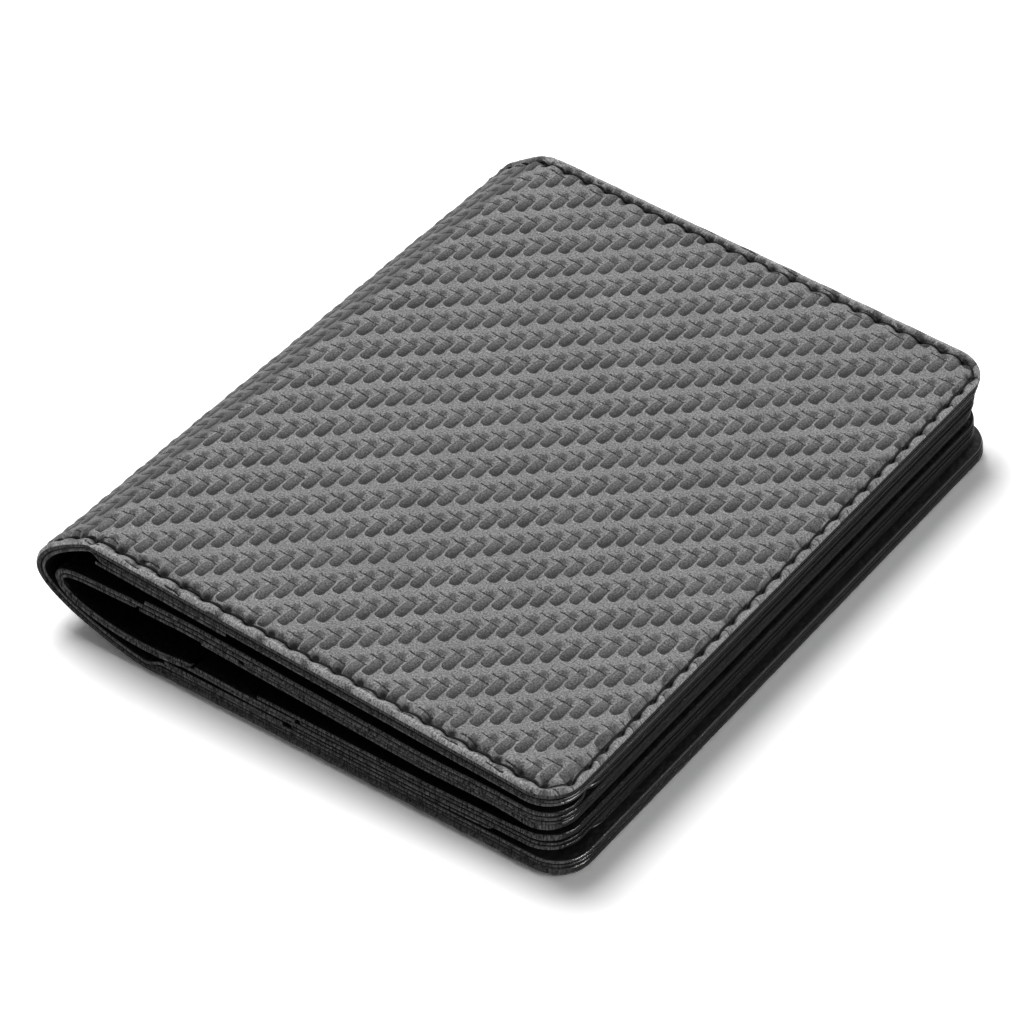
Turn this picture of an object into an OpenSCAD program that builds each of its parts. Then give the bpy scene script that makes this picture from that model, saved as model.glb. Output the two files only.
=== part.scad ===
// Folding card and note wallet: two stitched halves on a soft, rounded spine.
// The closed wallet lies on its rear cover. X runs from the spine to the open edge,
// Y runs along the spine, and the note compartment opens at the -Y end.

/* [Closed wallet] */
// Length along the spine
wallet_l = 100; // [92:1:130]
// Width of the front half, from its crease to its open edge
front_w = 72; // [66:1:95]
// How far the rear half reaches past the front half at the open edge
rear_overhang = 1.2; // [0:0.1:3]
// Height of the front crease above the table
crease_h = 17.5; // [16.5:0.25:20]
// Radius of the covers' corners
corner_r = 5; // [4:0.5:9]
// Gap between the two halves at the open edge
closing_gap = 1.1; // [0.1:0.1:2]

/* [Spine] */
// How far the spine's nose stands out from the front crease
spine_reach = 9.6; // [8.5:0.1:13]
// Height of the spine's nose above the table
nose_h = 8.8; // [8.6:0.1:9.2]
// How far the rear crease lies inside the front crease
rear_crease_in = 8; // [6:0.5:12]
// Pull of the rear crease on the spine's profile, along -X and up
rear_pull = [-2.7, 0]; // [-4:0.1:1]
// Pull of the nose on the profile, downwards
nose_pull_down = 4.8; // [4.6:0.1:5]
// Pull of the nose on the profile, upwards
nose_pull_up = 3.2; // [2.8:0.1:4]
// Pull of the front crease on the profile, along X and up
front_pull = [5.6, 2.5]; // [0:0.1:8]
// Cover leather where it runs round the spine, thinned and without a border
spine_t = 0.9; // [0.8:0.1:1.1]
// Clearance between pieces that meet at a crease
crease_gap = 0.2; // [0.1:0.05:0.4]

/* [Cover plies] */
// Cover leather
leather_t = 1.4; // [1.2:0.1:1.6]
// Border that doubles the cover leather along its edges, and the stiffener board inside it
border_t = 0.6; // [0.5:0.1:0.9]
// Width of the border
border_w = 8; // [5:0.5:12]
// How far the painted cut edge stands out at its middle
edge_dome = 0.35; // [0.2:0.05:0.6]
// Clearance round the stiffener board
board_clear = 0.3; // [0.1:0.1:0.8]
// Lining behind the cover
lining_t = 0.6; // [0.5:0.1:0.8]
// Inset of the lining from the cover's edge
lining_inset = 0.4; // [0.4:0.1:2]

/* [Inner panel] */
// Height of the front half's note compartment, held open by the panel's hem
note_gap = 1.8; // [1.2:0.1:2]
// Height of the rear half's note compartment, pressed flatter by the wallet's weight
rear_note_gap = 1; // [1:0.1:2]
// Panel that carries the pockets
backing_t = 0.8; // [0.5:0.1:1]
// Inset of the panel from the cover's edge
panel_inset = 0.6; // [0.5:0.1:2]
// How much shorter the inner plies are than the cover at the open edge
inner_short = 0.8; // [0:0.1:2]
// Width of the panel's hem along the open edge and the far end
panel_hem_w = 5; // [3:0.5:8]
// Distance from each crease at which the panel runs into the inner fold
fold_start = 6; // [5:0.5:9]
// Facing ply inside the inner fold
fold_face_t = 0.6; // [0.4:0.1:0.8]
// Clearance between the inner fold's nose and the spine lining
fold_clear = 1.6; // [1.5:0.1:1.8]
// Height of the inner fold's nose above the spine's nose
fold_nose_rise = -0.3; // [-0.3:0.1:0.3]
// Pull of the rear panel on the inner fold's profile, along -X
fold_rear_pull = 7.5; // [6.5:0.5:8.5]
// Pull of the inner fold's nose on its profile, downwards
fold_pull_down = 4.5; // [4.3:0.1:4.7]
// Pull of the inner fold's nose on its profile, upwards
fold_pull_up = 2.6; // [2.4:0.1:2.8]
// Pull of the front panel on the inner fold's profile, along X and up
fold_front_pull = [9.2, 0.7]; // [0:0.1:11]

/* [Note compartment] */
// Leather of the hidden pocket on each cover lining
note_pocket_t = 0.6; // [0.4:0.1:0.9]
// Distance of the hidden pocket's mouth from the crease
note_pocket_mouth = 1; // [0.5:0.1:4]
// Length of the hidden pocket's arms along X
note_pocket_arm = 21; // [16:0.5:26]
// Seam allowance left below the hidden pocket at the open edge
note_pocket_seam = 12; // [8:0.5:16]

/* [Card pockets] */
// Leather of the T-shaped pocket
tee_t = 0.6; // [0.4:0.1:0.9]
// Leather of the front pocket
pocket_t = 0.7; // [0.5:0.1:1]
// Distance of the T-shaped pocket's mouth from the inner fold
mouth_step = 2; // [1:0.5:6]
// Distance from the T-shaped pocket's mouth to the front pocket's mouth
pocket_step = 10; // [7:0.5:14]
// Length of the T-shaped pocket's arms along X
tee_arm = 16; // [12:0.5:22]
// Long side of a bank card
card_l = 85.6; // [80:0.1:90]
// Room beside the card in a pocket, on each side
card_room = 1.2; // [0.5:0.1:2]
// Seam allowance of the pockets at the open edge
pocket_seam = 4; // [3:0.5:8]
// Inset of the pockets from the cover's edge
pocket_inset = 0.8; // [0.6:0.1:2]
// Clearance between a T-shaped pocket and the turned rim round it
rim_clear = 0.3; // [0.1:0.1:0.8]

/* [Stitching] */
// Spacing of the cover stitches
stitch_pitch = 3.4; // [2.5:0.1:5]
// Visible part of each stitch
stitch_l = 2.3; // [1.6:0.1:2.4]
// Thread thickness, and the depth of the groove that it lies in
thread_d = 0.5; // [0.3:0.05:0.7]
// Width of the stitch groove
groove_w = 1; // [0.95:0.05:1.2]
// Thread round the spine, pulled tighter over the bend
spine_thread_d = 0.3; // [0.2:0.05:0.4]
// How much shorter the stitches round the spine are
spine_stitch_short = 0.8; // [0.4:0.1:1.2]
// Inset of the cover stitching from the cover's edge
stitch_inset = 1.9; // [1.7:0.1:3]
// Thread of the pocket seams
pocket_thread_d = 0.35; // [0.2:0.05:0.45]
// Visible part of each pocket stitch
pocket_stitch_l = 1.8; // [1.2:0.1:2]
// Inset of the pocket stitching from the cover's edge
pocket_stitch_inset = 2.8; // [2.6:0.1:3]

/* [Hidden] */
// Depths of the plies below the outer face, in the halves and in the spine
cover_t = leather_t + border_t;
note_d = cover_t + lining_t;
spine_note_d = spine_t + lining_t;
// Depths of the plies over a note compartment of a given height
function backing_d(gap) = note_d + gap;
function tee_d(gap) = backing_d(gap) + backing_t;
function pocket_d(gap) = tee_d(gap) + tee_t;
function half_t(gap) = pocket_d(gap) + pocket_t;
// Front half: leans down from its crease to the closed open edge
open_h = half_t(rear_note_gap) + half_t(note_gap) + closing_gap;
lean = asin((crease_h - open_h)/front_w);
rear_inward = [0, 1];
nose_inward = [1, 0];
front_inward = [-sin(lean), -cos(lean)];
// Rear half: lies flat from its crease to its open edge
rear_w = front_w + rear_overhang - rear_crease_in;
// Widths of the inner plies
rear_inner_w = rear_w - inner_short;
front_inner_w = front_w - inner_short;
// Overshoot of a cut past the surface that it opens
cut_over = 1;
// Facets of round corners and of threads, and the step of the painted edge
corner_facets = 48;
thread_facets = 16;
dome_step = 22.5;
// Lap of the painted edge into the flat of the cover
dome_lap = 0.5;
// Middle of the closed wallet along X
mid_x = (front_w + rear_overhang - spine_reach)/2;
// Pocket layout, measured from the crease
tee_mouth = fold_start + mouth_step;
pocket_mouth = tee_mouth + pocket_step;
card_half = card_l/2 + card_room;
// Spine profile in X and Z: rear crease, nose, front crease
rear_crease = [rear_crease_in, 0];
nose = [-spine_reach, nose_h];
front_crease = [0, crease_h];
spine_rear_curve = [rear_crease, rear_crease + rear_pull, nose - [0, nose_pull_down], nose];
spine_front_curve = [nose + [0, crease_gap], nose + [0, nose_pull_up],
    front_crease - front_pull, front_crease];
spine_steps = 14;
lining_l = wallet_l - 2*lining_inset;
// Inner fold profile: rear panel, its own nose, front panel
fold_nose = [spine_note_d + fold_clear - spine_reach, nose_h + fold_nose_rise];
fold_rear_end = [rear_crease_in + fold_start - crease_gap, backing_d(rear_note_gap)];
fold_front_end = front_point(fold_start - crease_gap, backing_d(note_gap));
fold_rear_curve = [fold_rear_end, fold_rear_end - [fold_rear_pull, 0],
    fold_nose - [0, fold_pull_down], fold_nose];
fold_front_curve = [fold_nose, fold_nose + [0, fold_pull_up],
    fold_front_end - fold_front_pull, fold_front_end];

shell_grey = "#6f7173";
ply_black = "#1d1d1f";
panel_black = "#2a2a2c";
pocket_black = "#323234";
board_tan = "#8a7a5f";
thread_black = "#0c0c0d";

// Points of a cubic curve, its direction, and the side that faces into the wallet
function curve_point(p, t) =
    pow(1 - t, 3)*p[0] + 3*t*pow(1 - t, 2)*p[1] + 3*t*t*(1 - t)*p[2] + pow(t, 3)*p[3];
function curve_dir(p, t) =
    pow(1 - t, 2)*(p[1] - p[0]) + 2*t*(1 - t)*(p[2] - p[1]) + t*t*(p[3] - p[2]);
function turned_in(d) = [d[1], -d[0]]/norm(d);
function facing(p, t, first, last) = t == 0 ? first : t == 1 ? last : turned_in(curve_dir(p, t));
function curve_at_depth(p, depth, first, last) = [for (i = [0:spine_steps])
    let (t = i/spine_steps) curve_point(p, t) + depth*facing(p, t, first, last)];
function backwards(list) = [for (i = [len(list) - 1:-1:0]) list[i]];

// A point of the front half in X and Z, from its distance to the crease and its depth
function front_point(u, depth) =
    front_crease + u*[cos(lean), -sin(lean)] + depth*front_inward;

// Place of a half's flat plies: u along X from the crease, depth along Z from the outer face
module at_rear() {
    translate([rear_crease_in - mid_x, 0, 0]) children();
}

module at_front() {
    translate([-mid_x, 0, crease_h]) rotate([0, lean, 0]) mirror([0, 0, 1]) children();
}

// Plan of a half: square at the crease, round corners at the open edge
module half_plan(w, inset, start = crease_gap) {
    r = corner_r - inset;
    end = w - inset;
    half_l = wallet_l/2 - inset;
    translate([start, -half_l]) square([end - r - start, 2*half_l]);
    translate([start, r - half_l]) square([end - start, 2*(half_l - r)]);
    for (side = [-1, 1]) translate([end - r, side*(half_l - r)]) circle(r, $fn = corner_facets);
}

// Channel that a row of stitches lies in, along the three sewn edges
module stitch_channel(w, inset, start, width, depth) {
    linear_extrude(depth) difference() {
        half_plan(w, inset - width/2, start);
        half_plan(w, inset + width/2, start - cut_over);
    }
}

// Section of the painted cut edge, domed and lapped into the flat of the cover
module painted_edge_section() {
    arc = [for (a = [-90:dome_step:90]) [edge_dome*cos(a), cover_t/2*(1 + sin(a))]];
    polygon(concat(arc, [[-dome_lap, cover_t], [-dome_lap, 0]]));
}

module painted_edge(w) {
    run = w - corner_r - crease_gap;
    for (side = [0, 1]) mirror([0, side, 0]) {
        translate([crease_gap, wallet_l/2 - edge_dome, 0]) rotate([90, 0, 90])
            linear_extrude(run) painted_edge_section();
        translate([w - corner_r, wallet_l/2 - corner_r, 0])
            rotate_extrude(angle = 90, $fn = corner_facets)
                translate([corner_r - edge_dome, 0]) painted_edge_section();
    }
    translate([w - edge_dome, 0, 0]) rotate([90, 0, 0])
        linear_extrude(wallet_l - 2*corner_r, center = true) painted_edge_section();
}

// Cover leather with a painted edge, a bed for the board and a stitch groove
module cover_leather(w) {
    difference() {
        union() {
            linear_extrude(cover_t) half_plan(w, edge_dome);
            painted_edge(w);
        }
        translate([border_w, border_w - wallet_l/2, leather_t])
            cube([w - 2*border_w, wallet_l - 2*border_w, border_t + cut_over]);
        translate([0, 0, -cut_over])
            stitch_channel(w, stitch_inset, 0, groove_w, thread_d + cut_over);
    }
}

// Stiffener board in the bed of the cover
module stiffener(w) {
    inset = border_w + board_clear;
    translate([inset, inset - wallet_l/2, leather_t])
        cube([w - 2*inset, wallet_l - 2*inset, border_t]);
}

module cover_lining(w) {
    translate([0, 0, cover_t]) linear_extrude(lining_t) half_plan(w, lining_inset);
}

// Plan of a T-shaped pocket: arms sewn into the side seams, a card-wide body between them
module tee_plan(w, mouth, arm, seam, clear = 0) {
    half_l = wallet_l/2 - pocket_inset + clear;
    body_half = card_half + clear;
    translate([mouth, -half_l]) square([arm + clear, 2*half_l]);
    translate([mouth, -body_half])
        square([w - pocket_inset - seam - mouth + clear, 2*body_half]);
}

module note_pocket_plan(w, clear = 0) {
    tee_plan(w, note_pocket_mouth, note_pocket_arm, note_pocket_seam, clear);
}

module card_tee_plan(w, clear = 0) {
    tee_plan(w, tee_mouth, tee_arm, pocket_seam, clear);
}

// Hidden pocket in the note compartment, on the cover lining
module note_pocket(w) {
    translate([0, 0, note_d]) linear_extrude(note_pocket_t) note_pocket_plan(w);
}

// Inner panel, with its hem turned towards the cover at the open edge and the far end
module inner_panel(w, gap) {
    hem_in = panel_inset + panel_hem_w;
    translate([0, 0, backing_d(gap)]) linear_extrude(backing_t)
        half_plan(w, panel_inset, fold_start);
    translate([0, 0, note_d]) linear_extrude(gap) difference() {
        half_plan(w, panel_inset, fold_start);
        translate([0, -wallet_l]) square([w - hem_in, wallet_l + wallet_l/2 - hem_in]);
        note_pocket_plan(w, rim_clear);
    }
}

module tee_pocket(w, gap) {
    translate([0, 0, tee_d(gap)]) linear_extrude(tee_t) card_tee_plan(w);
}

// Front pocket: one sheet with its rim turned under round the T-shaped pocket
module card_pocket(w, gap) {
    groove_start = pocket_mouth - cut_over;
    difference() {
        union() {
            translate([0, 0, pocket_d(gap)]) linear_extrude(pocket_t)
                half_plan(w, pocket_inset, pocket_mouth);
            translate([0, 0, tee_d(gap)]) linear_extrude(tee_t) difference() {
                half_plan(w, pocket_inset, pocket_mouth);
                card_tee_plan(w, rim_clear);
            }
        }
        translate([0, 0, half_t(gap) - pocket_thread_d])
            stitch_channel(w, pocket_stitch_inset, groove_start, groove_w, pocket_thread_d + cut_over);
    }
}

// Lengths of a seam line: two straight sides and two quarter turns join three straight runs
function seam_r(inset) = corner_r - inset;
function seam_side(w, start) = w - corner_r - start;
function seam_turn(inset) = seam_r(inset)*PI/2;
function seam_end() = wallet_l - 2*corner_r;
function seam_length(w, inset, start) =
    2*seam_side(w, start) + 2*seam_turn(inset) + seam_end();

// Place and heading on a seam line at distance s from its near end at the crease: [u, y, heading]
function seam_turn_at(u, y, inset, from, s) =
    let (a = from + s/seam_r(inset)*180/PI)
    [u + seam_r(inset)*cos(a), y + seam_r(inset)*sin(a), a + 90];
function seam_at(w, inset, start, s) =
    let (side = seam_side(w, start), turn = seam_turn(inset), end = seam_end(),
        u = w - corner_r, y = wallet_l/2 - corner_r)
    s < side ? [start + s, inset - wallet_l/2, 0]
    : s < side + turn ? seam_turn_at(u, -y, inset, -90, s - side)
    : s < side + turn + end ? [w - inset, s - side - turn - y, 90]
    : s < side + 2*turn + end ? seam_turn_at(u, y, inset, 0, s - side - turn - end)
    : [u - (s - side - 2*turn - end), wallet_l/2 - inset, 180];

// One row of stitches, lying at a depth below the outer face
module stitches(w, inset, start, d, length, depth) {
    total = seam_length(w, inset, start);
    count = floor(total/stitch_pitch);
    pitch = total/count;
    for (i = [0:count - 1]) {
        place = seam_at(w, inset, start, (i + 0.5)*pitch);
        translate([place[0], place[1], depth]) rotate([0, 90, place[2]])
            cylinder(d = d, h = length, center = true, $fn = thread_facets);
    }
}

module cover_stitches(w) {
    stitches(w, stitch_inset, crease_gap, thread_d, stitch_l, thread_d/2);
}

module pocket_stitches(w, gap) {
    depth = half_t(gap) - pocket_thread_d/2;
    stitches(w, pocket_stitch_inset, pocket_mouth, pocket_thread_d, pocket_stitch_l, depth);
}

// A ply between two depths behind a profile, drawn along the spine
module spine_ply(p, d1, d2, first, last, length) {
    outer = curve_at_depth(p, d1, first, last);
    inner = curve_at_depth(p, d2, first, last);
    translate([-mid_x, 0, 0]) rotate([90, 0, 0])
        linear_extrude(length, center = true) polygon(concat(outer, backwards(inner)));
}

// Spine leather, with a stitch groove near each end
module spine_leather(p, first, last) {
    difference() {
        spine_ply(p, 0, spine_t, first, last, wallet_l);
        for (side = [-1, 1]) translate([0, side*(wallet_l/2 - stitch_inset), 0])
            spine_ply(p, -cut_over, thread_d, first, last, groove_w);
    }
}

// Share of a profile at each length along it, for stitches that are evenly spaced
function step_lengths(p) = [for (i = [1:spine_steps])
    norm(curve_point(p, i/spine_steps) - curve_point(p, (i - 1)/spine_steps))];
function sum_to(list, n) = n == 0 ? 0 : list[n - 1] + sum_to(list, n - 1);
function length_table(p) =
    let (steps = step_lengths(p)) [for (i = [0:spine_steps]) [sum_to(steps, i), i/spine_steps]];

// Two rows of stitches that carry the cover seams round the spine
module spine_stitches(p) {
    table = length_table(p);
    total = table[spine_steps][0];
    count = floor(total/stitch_pitch);
    for (i = [0:count - 1]) {
        t = lookup((i + 0.5)*total/count, table);
        dir = curve_dir(p, t);
        place = curve_point(p, t) + (thread_d - spine_thread_d/2)*turned_in(dir);
        for (side = [-1, 1])
            translate([place[0] - mid_x, side*(wallet_l/2 - stitch_inset), place[1]])
                rotate([0, 90 - atan2(dir[1], dir[0]), 0])
                    cylinder(d = spine_thread_d, h = stitch_l - spine_stitch_short,
                        center = true, $fn = thread_facets);
    }
}

// The inner fold is one profile: rear part, nose and front part
module fold_ply(d1, d2) {
    length = wallet_l - 2*panel_inset;
    spine_ply(fold_rear_curve, d1, d2, rear_inward, nose_inward, length);
    spine_ply(fold_front_curve, d1, d2, nose_inward, front_inward, length);
}

module rear_cover() { color(shell_grey) at_rear() cover_leather(rear_w); }
module rear_board() { color(board_tan) at_rear() stiffener(rear_w); }
module rear_lining() { color(ply_black) at_rear() cover_lining(rear_w); }
module rear_inner_panel() { color(panel_black) at_rear() inner_panel(rear_inner_w, rear_note_gap); }
module rear_tee_pocket() { color(pocket_black) at_rear() tee_pocket(rear_inner_w, rear_note_gap); }
module rear_card_pocket() { color(pocket_black) at_rear() card_pocket(rear_inner_w, rear_note_gap); }
module rear_note_pocket() { color(pocket_black) at_rear() note_pocket(rear_inner_w); }
module rear_cover_thread() { color(thread_black) at_rear() cover_stitches(rear_w); }
module rear_pocket_thread() {
    color(thread_black) at_rear() pocket_stitches(rear_inner_w, rear_note_gap);
}

module spine_rear_leather() {
    color(shell_grey) spine_leather(spine_rear_curve, rear_inward, nose_inward);
}
module spine_rear_lining() {
    color(ply_black)
        spine_ply(spine_rear_curve, spine_t, spine_note_d, rear_inward, nose_inward, lining_l);
}
module spine_front_leather() {
    color(shell_grey) spine_leather(spine_front_curve, nose_inward, front_inward);
}
module spine_front_lining() {
    color(ply_black)
        spine_ply(spine_front_curve, spine_t, spine_note_d, nose_inward, front_inward, lining_l);
}
module spine_rear_thread() { color(thread_black) spine_stitches(spine_rear_curve); }
module spine_front_thread() { color(thread_black) spine_stitches(spine_front_curve); }
module inner_fold_backing() { color(panel_black) fold_ply(0, backing_t); }
module inner_fold_face() { color(pocket_black) fold_ply(backing_t, backing_t + fold_face_t); }

module front_cover() { color(shell_grey) at_front() cover_leather(front_w); }
module front_board() { color(board_tan) at_front() stiffener(front_w); }
module front_lining() { color(ply_black) at_front() cover_lining(front_w); }
module front_inner_panel() { color(panel_black) at_front() inner_panel(front_inner_w, note_gap); }
module front_tee_pocket() { color(pocket_black) at_front() tee_pocket(front_inner_w, note_gap); }
module front_card_pocket() { color(pocket_black) at_front() card_pocket(front_inner_w, note_gap); }
module front_note_pocket() { color(pocket_black) at_front() note_pocket(front_inner_w); }
module front_cover_thread() { color(thread_black) at_front() cover_stitches(front_w); }
module front_pocket_thread() {
    color(thread_black) at_front() pocket_stitches(front_inner_w, note_gap);
}

rear_cover();
rear_board();
rear_lining();
rear_inner_panel();
rear_tee_pocket();
rear_card_pocket();
rear_note_pocket();
rear_cover_thread();
rear_pocket_thread();
spine_rear_leather();
spine_rear_lining();
spine_front_leather();
spine_front_lining();
spine_rear_thread();
spine_front_thread();
inner_fold_backing();
inner_fold_face();
front_cover();
front_board();
front_lining();
front_inner_panel();
front_tee_pocket();
front_card_pocket();
front_note_pocket();
front_cover_thread();
front_pocket_thread();
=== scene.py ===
import math
from contextlib import contextmanager
from functools import partial
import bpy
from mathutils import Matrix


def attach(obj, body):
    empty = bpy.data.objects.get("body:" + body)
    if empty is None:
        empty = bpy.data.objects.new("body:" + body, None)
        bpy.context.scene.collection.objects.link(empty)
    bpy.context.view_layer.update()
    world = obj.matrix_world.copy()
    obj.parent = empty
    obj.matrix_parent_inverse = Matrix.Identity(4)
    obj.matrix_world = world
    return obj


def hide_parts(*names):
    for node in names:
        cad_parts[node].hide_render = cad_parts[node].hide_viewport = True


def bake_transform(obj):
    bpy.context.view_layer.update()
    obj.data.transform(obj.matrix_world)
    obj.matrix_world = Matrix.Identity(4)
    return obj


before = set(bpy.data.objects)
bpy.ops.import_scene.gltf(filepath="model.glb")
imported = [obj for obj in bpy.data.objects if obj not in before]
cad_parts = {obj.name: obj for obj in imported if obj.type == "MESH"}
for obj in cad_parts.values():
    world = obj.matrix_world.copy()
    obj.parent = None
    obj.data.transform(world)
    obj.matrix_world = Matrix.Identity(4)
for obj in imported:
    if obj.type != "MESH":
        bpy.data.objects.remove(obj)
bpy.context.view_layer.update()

from types import SimpleNamespace

import bpy
import numpy as np
from mathutils import Matrix, Vector

# Sizes of the closed wallet, in millimetres as in the part's source
MM = 0.001
WALLET_L = 100.0
FRONT_W = 72.0
REAR_OVERHANG = 1.2
CREASE_H = 17.5
OPEN_H = 13.3
CORNER_R = 5.0
SPINE_REACH = 9.6
NOSE_H = 8.8
REAR_CREASE_IN = 8.0

# Thicknesses of its plies, and the room for notes between lining and inner panel
LEATHER_T = 1.4
SPINE_T = 0.9
BORDER_T = 0.6
LINING_T = 0.6
BACKING_T = 0.8
FOLD_FACE_T = 0.6
TEE_T = 0.6
POCKET_T = 0.7
HIDDEN_T = 0.6
NOTE_GAP = {"rear": 1.0, "front": 1.8}

# Insets from the outline: at the far end as in the part's source, elsewhere trimmed flush
LINING_INSET = 0.4
PANEL_INSET = 0.6
POCKET_INSET = 0.8
TRIM = 0.12

# Places in a half, from its crease towards its open edge
FOLD_START = 6.0
TEE_MOUTH = 8.0
TEE_ARM = 16.0
POCKET_MOUTH = 18.0
HIDDEN_MOUTH = {"rear": 3.0, "front": 1.0}
HIDDEN_ARM_END = 22.0
HIDDEN_BODY_SHORT = 12.0
TEE_BODY_SHORT = 4.0
LIP_START = FOLD_START - 0.1
LIP_END = 7.7
HEM_START = 23.0
MOUTH_HEM_START = 9.0
SPACER_START = 24.3

# Widths of plies that are cut away in their middle, and half the width of a pocket for cards
BORDER_W = 8.0
HEM_W = 5.0
HEM_STOP = 4.8
MOUTH_HEM_W = {"rear": 5.5, "front": 9.4}
SPACER_W = 4.8
CARD_HALF = 44.0

# Soft plies hang near the notes' open end and swell at the open edge. Both come on between two places
# along the wallet, or two distances from the open edge
FRONT_SAG = 0.8
FOLD_SAG = 1.4
REAR_SAG = 0.3
SAG_ENDS = (-8.0, -46.0)
SAG_HELD = (22.0, 7.0)
POCKET_SWELL = 0.45
SWELL_ENDS = (9.0, 2.0)

# The cover seam and the pocket seam; a stitch has a length or share of the pitch, a width and a dive
STITCH_INSET = 1.6
OPEN_SEAM_SHIFT = 0.5
STITCH_PITCH = 3.4
STITCH_SHARE = 0.86
STITCH_W = 0.4
STITCH_DIVE = 0.5
STITCH_SINK = 0.24
STITCH_SLANT = math.radians(5)
POCKET_SEAM_INSET = 2.8
POCKET_STITCH_PITCH = 2.9
POCKET_STITCH = (2.2, 0.42, 0.3)
POCKET_STITCH_SINK = 0.12

# Soft edges of the leather and of the other plies, and room between faces that would touch
EDGE_DOME = 0.5
PLY_DOME = 0.3
SMALL_CORNER_R = 4.6
SKIN = 0.03

# Depths below the outer face of a half
COVER_T = LEATHER_T + BORDER_T
NOTE_D = COVER_T + LINING_T

# Places in X and Z, in the frame of the closed wallet
HALF_L = WALLET_L/2
REAR_W = FRONT_W + REAR_OVERHANG - REAR_CREASE_IN
MID_X = (FRONT_W + REAR_OVERHANG - SPINE_REACH)/2
LEAN = math.asin((CREASE_H - OPEN_H)/FRONT_W)
REAR_CREASE = np.array([REAR_CREASE_IN - MID_X, 0.0])
NOSE = np.array([-SPINE_REACH - MID_X, NOSE_H])
FRONT_CREASE = np.array([-MID_X, CREASE_H])
ALONG_FRONT = np.array([math.cos(LEAN), -math.sin(LEAN)])
INTO_FRONT = np.array([-math.sin(LEAN), -math.cos(LEAN)])

# The weave: widths of its strands, its slight turn on the cover, and where it starts
STRAND_X = 1.681
STRAND_Y = 1.719
WEAVE_TURN = math.radians(1.78)
WEAVE_START = (0.166, 0.734)


def spread(start, end, step):
    """Even places from start to end, no further apart than step."""
    count = max(1, math.ceil(abs(end - start)/step - 1e-9))
    return np.linspace(start, end, count + 1)


def bezier(a, b, c, d):
    """Points of a cubic curve in X and Z."""
    count = 200
    t = np.linspace(0, 1, count)[:, None]
    return (1 - t)**3*a + 3*t*(1 - t)**2*b + 3*t*t*(1 - t)*c + t**3*d


def smoothstep(low, high, value):
    """0 at low and before, 1 at high and beyond, with a smooth rise between."""
    t = np.clip((value - low)/(high - low), 0, 1)
    return t*t*(3 - 2*t)


def bell(distance, width, height=1.0):
    """A height at no distance, falling off like a bell of that width."""
    return height*np.exp(-0.5*(distance/width)**2)


class Profile:
    """A line in X and Z that a flat pattern is folded along, by distance from a mark."""

    def __init__(self, points, mark, soften):
        step = 0.1
        length = np.concatenate([[0], np.cumsum(np.linalg.norm(np.diff(points, axis=0), axis=1))])
        even = np.arange(0, length[-1], step)
        line = np.stack([np.interp(even, length, points[:, k]) for k in (0, 1)], 1)
        reach = int(3*soften/step)
        weight = bell(np.arange(-reach, reach + 1)*step, soften)
        weight /= weight.sum()
        before = 2*line[0] - line[1:reach + 1][::-1]
        after = 2*line[-1] - line[-reach - 1:-1][::-1]
        padded = np.concatenate([before, line, after])
        line = np.stack([np.convolve(padded[:, k], weight, "valid") for k in (0, 1)], 1)
        slope = np.gradient(line, axis=0)
        slope /= np.linalg.norm(slope, axis=1)[:, None]
        self.s = even - even[np.argmin(np.linalg.norm(line - mark, axis=1))]
        self.line = line
        self.out = np.stack([-slope[:, 1], slope[:, 0]], 1)

    def place(self, s, y, height):
        """Points in metres of a flat pattern's distance, length and height above the line."""
        ends = np.clip(s, self.s[0], self.s[-1])
        x, z, out_x, out_z = (np.interp(ends, self.s, v) for v in (*self.line.T, *self.out.T))
        beyond = s - ends
        return np.stack([x + out_z*beyond + out_x*height, y, z - out_x*beyond + out_z*height], 1)*MM


# The outer line runs from the rear open edge round the spine to the front open edge
REAR_PULL = (2.7, 0)
NOSE_PULL_DOWN = (0, 4.8)
NOSE_PULL_UP = (0, 3.2)
FRONT_PULL = (5.6, 2.5)
CREASE_ROUNDING = 0.55
rear_open = REAR_CREASE + np.array([REAR_W, 0])
front_open = FRONT_CREASE + FRONT_W*ALONG_FRONT
rear_bend = bezier(REAR_CREASE, REAR_CREASE - REAR_PULL, NOSE - NOSE_PULL_DOWN, NOSE)
front_bend = bezier(NOSE, NOSE + NOSE_PULL_UP, FRONT_CREASE - FRONT_PULL, FRONT_CREASE)
outer = Profile(np.concatenate([[rear_open], rear_bend, front_bend[1:], [front_open]]),
                FRONT_CREASE, CREASE_ROUNDING)
S_NOSE = outer.s[np.argmin(np.linalg.norm(outer.line - NOSE, axis=1))]
S_REAR = outer.s[np.argmin(np.linalg.norm(outer.line - REAR_CREASE, axis=1))]
S_REAR_OPEN = S_REAR - REAR_W

# The inner fold's line runs from the rear panel round its own nose to the front panel
FOLD_CLEAR = 1.6
FOLD_NOSE_DROP = 0.3
FOLD_REAR_PULL = (7.5, 1.5)
FOLD_PULL_DOWN = (0, 4.5)
FOLD_PULL_UP = (0, 2.6)
FOLD_FRONT_PULL = (9.2, 0.7)
FOLD_ROUNDING = 0.3
fold_nose = NOSE + [SPINE_T + LINING_T + FOLD_CLEAR, -FOLD_NOSE_DROP]
fold_rear = np.array([REAR_CREASE[0] + FOLD_START, NOTE_D + NOTE_GAP["rear"]])
fold_front = FRONT_CREASE + FOLD_START*ALONG_FRONT + (NOTE_D + NOTE_GAP["front"])*INTO_FRONT
fold_rear_arm = bezier(fold_rear, fold_rear - FOLD_REAR_PULL, fold_nose - FOLD_PULL_DOWN, fold_nose)
fold_front_arm = bezier(fold_nose, fold_nose + FOLD_PULL_UP, fold_front - FOLD_FRONT_PULL, fold_front)
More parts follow.
